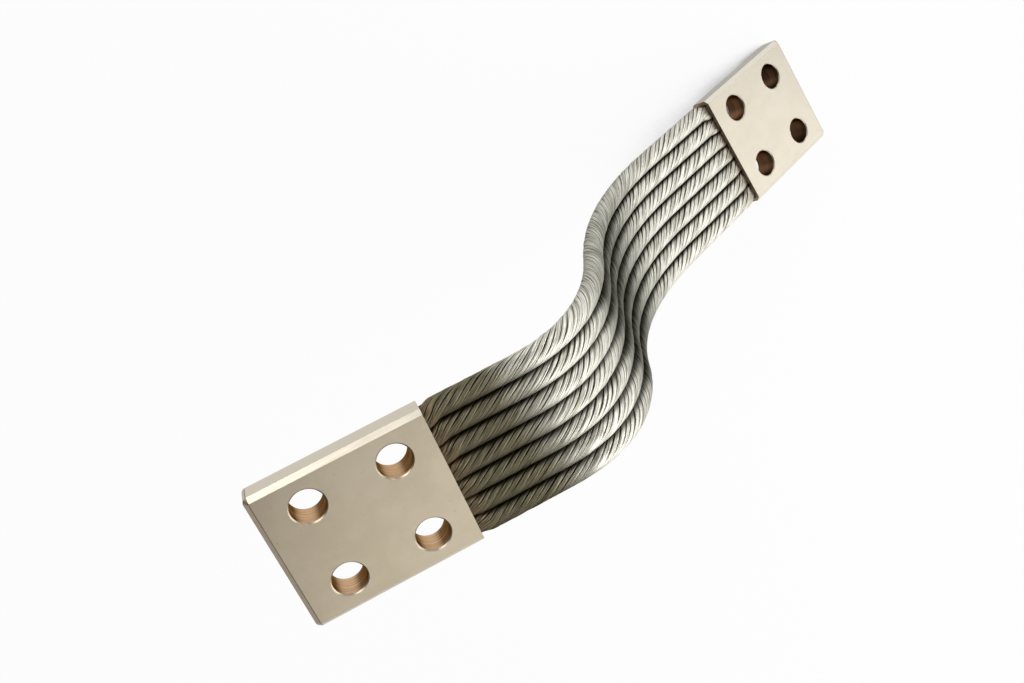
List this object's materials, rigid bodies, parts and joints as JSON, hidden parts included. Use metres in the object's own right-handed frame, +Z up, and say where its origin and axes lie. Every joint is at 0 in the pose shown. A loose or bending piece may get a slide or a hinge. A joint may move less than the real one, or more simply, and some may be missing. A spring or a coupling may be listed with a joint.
{
  "type": "braided busbar connector",
  "caption": "Flexible busbar connector: stranded tinned copper ropes side by side, bent in an S between two flat pressed terminals drilled with a square of bolt holes.",
  "frame": {"origin": "centre of the near terminal's hole pattern, on its underside", "axes": "+X along the near terminal towards the ropes, +Y across the bundle, +Z up through the near terminal's bolt holes"},
  "size_m": [0.3626, 0.0776, 0.2043],
  "materials": {
    "sleeve": "satin",
    "pressed_ends": "satin",
    "rope": "satin"
  },
  "bodies": {
    "root": {"near_sleeve": "sleeve", "far_sleeve": "sleeve", "near_pressed_ends": "pressed_ends", "far_pressed_ends": "pressed_ends", "rope_1": "rope", "rope_2": "rope", "rope_3": "rope", "rope_4": "rope", "rope_5": "rope", "rope_6": "rope", "rope_7": "rope"}
  },
  "joints": []
}
